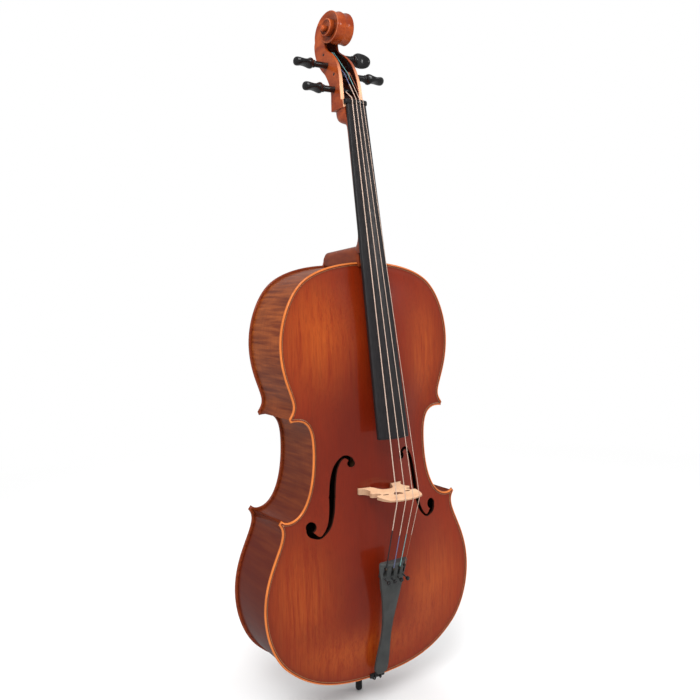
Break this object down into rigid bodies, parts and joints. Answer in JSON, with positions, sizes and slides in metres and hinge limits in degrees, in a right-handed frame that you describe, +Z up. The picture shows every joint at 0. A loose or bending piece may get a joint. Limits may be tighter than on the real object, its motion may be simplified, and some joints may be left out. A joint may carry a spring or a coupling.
{
  "type": "cello",
  "caption": "Full-size cello with red-brown varnish, f-holes, pegs, bridge, tailpiece with built-in tuners and a sliding endpin.",
  "frame": {"origin": "middle of the flat underside of the endpin's rubber foot, with the endpin pushed in", "axes": "+Z up along the body to the scroll, -Y to the front of the cello (strings and sound holes), +X to the treble side"},
  "size_m": [0.441, 0.2637, 1.2631],
  "materials": {
    "spruce_varnished": "glossy red-brown varnish over straight vertical grain",
    "maple_varnished": "glossy brown varnish over flamed maple",
    "neck_maple": "glossy orange-brown varnish",
    "bare_wood": "bare spruce and willow",
    "ebony_satin": "satin black",
    "ebony_polished": "polished black",
    "bridge_maple": "unvarnished pale maple",
    "tailpiece_composite": "matte dark grey",
    "tuner_metal": "black",
    "steel": "plain steel",
    "string_steel": "ribbon wound",
    "cord": "black braided",
    "rubber": "matte black"
  },
  "bodies": {
    "cello": {"top_plate": "spruce_varnished", "back_plate": "maple_varnished", "rib_upper_bass": "maple_varnished", "lining_upper_bass_front": "bare_wood", "lining_upper_bass_back": "bare_wood", "rib_middle_bass": "maple_varnished", "lining_middle_bass_front": "bare_wood", "lining_middle_bass_back": "bare_wood", "rib_lower_bass": "maple_varnished", "lining_lower_bass_front": "bare_wood", "lining_lower_bass_back": "bare_wood", "block_upper_corner_bass": "bare_wood", "block_lower_corner_bass": "bare_wood", "rib_upper_treble": "maple_varnished", "lining_upper_treble_front": "bare_wood", "lining_upper_treble_back": "bare_wood", "rib_middle_treble": "maple_varnished", "lining_middle_treble_front": "bare_wood", "lining_middle_treble_back": "bare_wood", "rib_lower_treble": "maple_varnished", "lining_lower_treble_front": "bare_wood", "lining_lower_treble_back": "bare_wood", "block_upper_corner_treble": "bare_wood", "block_lower_corner_treble": "bare_wood", "block_top": "bare_wood", "block_bottom": "bare_wood", "bass_bar": "bare_wood", "sound_post": "bare_wood", "neck_and_scroll": "neck_maple", "fingerboard": "ebony_satin", "nut": "ebony_polished", "saddle": "ebony_polished", "bridge": "bridge_maple", "tailpiece": "tailpiece_composite", "tuner_pivot_pin": "steel", "tailgut": "cord", "endpin_socket": "ebony_polished", "string_C": "string_steel", "string_G": "string_steel", "string_D": "string_steel", "string_A": "string_steel"},
    "peg_C_turning": {"peg_C": "ebony_polished"},
    "peg_G_turning": {"peg_G": "ebony_polished"},
    "peg_D_turning": {"peg_D": "ebony_polished"},
    "peg_A_turning": {"peg_A": "ebony_polished"},
    "tuner_C_stem": {"tuner_screw_C": "tuner_metal"},
    "tuner_C_head": {"tuner_knob_C": "tuner_metal"},
    "tuner_C_crank": {"tuner_lever_C": "tuner_metal"},
    "tuner_G_stem": {"tuner_screw_G": "tuner_metal"},
    "tuner_G_head": {"tuner_knob_G": "tuner_metal"},
    "tuner_G_crank": {"tuner_lever_G": "tuner_metal"},
    "tuner_D_stem": {"tuner_screw_D": "tuner_metal"},
    "tuner_D_head": {"tuner_knob_D": "tuner_metal"},
    "tuner_D_crank": {"tuner_lever_D": "tuner_metal"},
    "tuner_A_stem": {"tuner_screw_A": "tuner_metal"},
    "tuner_A_head": {"tuner_knob_A": "tuner_metal"},
    "tuner_A_crank": {"tuner_lever_A": "tuner_metal"},
    "endpin": {"endpin_rod": "steel", "endpin_rubber_foot": "rubber"},
    "clamp": {"endpin_clamp_screw": "steel"}
  },
  "joints": [
    {"name": "peg_C_turn", "type": "hinge", "parent": "cello", "child": "peg_C_turning", "pos_m": [0, -0.003, 1.116], "axis": [-1, 0, 0], "continuous": true},
    {"name": "peg_G_turn", "type": "hinge", "parent": "cello", "child": "peg_G_turning", "pos_m": [0, 0.0275, 1.1665], "axis": [-1, 0, 0], "continuous": true},
    {"name": "peg_D_turn", "type": "hinge", "parent": "cello", "child": "peg_D_turning", "pos_m": [0, 0.042, 1.19], "axis": [1, 0, 0], "continuous": true},
    {"name": "peg_A_turn", "type": "hinge", "parent": "cello", "child": "peg_A_turning", "pos_m": [0, -0.0005, 1.144], "axis": [1, 0, 0], "continuous": true},
    {"name": "tuner_C_advance", "type": "slide", "parent": "cello", "child": "tuner_C_stem", "axis": [0, 0.9704, 0.2416], "range_m": [-0.0011, 0.0025]},
    {"name": "tuner_C_turn", "type": "hinge", "parent": "tuner_C_stem", "child": "tuner_C_head", "pos_m": [-0.0198, -0.13635, 0.25417], "axis": [0, 0.9704, 0.2416], "range_deg": [-580, 1300]},
    {"name": "tuner_C_rock", "type": "hinge", "parent": "cello", "child": "tuner_C_crank", "pos_m": [-0.0198, -0.12214, 0.27368], "axis": [1, 0, 0], "range_deg": [-4.2, 9.4]},
    {"name": "tuner_G_advance", "type": "slide", "parent": "cello", "child": "tuner_G_stem", "axis": [0, 0.9704, 0.2416], "range_m": [-0.0011, 0.0025]},
    {"name": "tuner_G_turn", "type": "hinge", "parent": "tuner_G_stem", "child": "tuner_G_head", "pos_m": [-0.0066, -0.13635, 0.25417], "axis": [0, 0.9704, 0.2416], "range_deg": [-580, 1300]},
    {"name": "tuner_G_rock", "type": "hinge", "parent": "cello", "child": "tuner_G_crank", "pos_m": [-0.0066, -0.12214, 0.27368], "axis": [1, 0, 0], "range_deg": [-4.2, 9.4]},
    {"name": "tuner_D_advance", "type": "slide", "parent": "cello", "child": "tuner_D_stem", "axis": [0, 0.9704, 0.2416], "range_m": [-0.0011, 0.0025]},
    {"name": "tuner_D_turn", "type": "hinge", "parent": "tuner_D_stem", "child": "tuner_D_head", "pos_m": [0.0066, -0.13635, 0.25417], "axis": [0, 0.9704, 0.2416], "range_deg": [-580, 1300]},
    {"name": "tuner_D_rock", "type": "hinge", "parent": "cello", "child": "tuner_D_crank", "pos_m": [0.0066, -0.12214, 0.27368], "axis": [1, 0, 0], "range_deg": [-4.2, 9.4]},
    {"name": "tuner_A_advance", "type": "slide", "parent": "cello", "child": "tuner_A_stem", "axis": [0, 0.9704, 0.2416], "range_m": [-0.0011, 0.0025]},
    {"name": "tuner_A_turn", "type": "hinge", "parent": "tuner_A_stem", "child": "tuner_A_head", "pos_m": [0.0198, -0.13635, 0.25417], "axis": [0, 0.9704, 0.2416], "range_deg": [-580, 1300]},
    {"name": "tuner_A_rock", "type": "hinge", "parent": "cello", "child": "tuner_A_crank", "pos_m": [0.0198, -0.12214, 0.27368], "axis": [1, 0, 0], "range_deg": [-4.2, 9.4]},
    {"name": "endpin_pull_out", "type": "slide", "parent": "cello", "child": "endpin", "axis": [0, 0, -1], "range_m": [0, 0.28]},
    {"name": "endpin_clamp_turn", "type": "hinge", "parent": "cello", "child": "clamp", "pos_m": [0, 0.02, 0.039], "axis": [0, 1, 0], "range_deg": [-540, 0]}
  ],
  "couplings": [
    {"joint": "tuner_C_turn", "follows": "tuner_C_advance", "rad_per_m": 8976},
    {"joint": "tuner_C_rock", "follows": "tuner_C_advance", "rad_per_m": 63.291},
    {"joint": "tuner_G_turn", "follows": "tuner_G_advance", "rad_per_m": 8976},
    {"joint": "tuner_G_rock", "follows": "tuner_G_advance", "rad_per_m": 63.291},
    {"joint": "tuner_D_turn", "follows": "tuner_D_advance", "rad_per_m": 8976},
    {"joint": "tuner_D_rock", "follows": "tuner_D_advance", "rad_per_m": 63.291},
    {"joint": "tuner_A_turn", "follows": "tuner_A_advance", "rad_per_m": 8976},
    {"joint": "tuner_A_rock", "follows": "tuner_A_advance", "rad_per_m": 63.291}
  ]
}
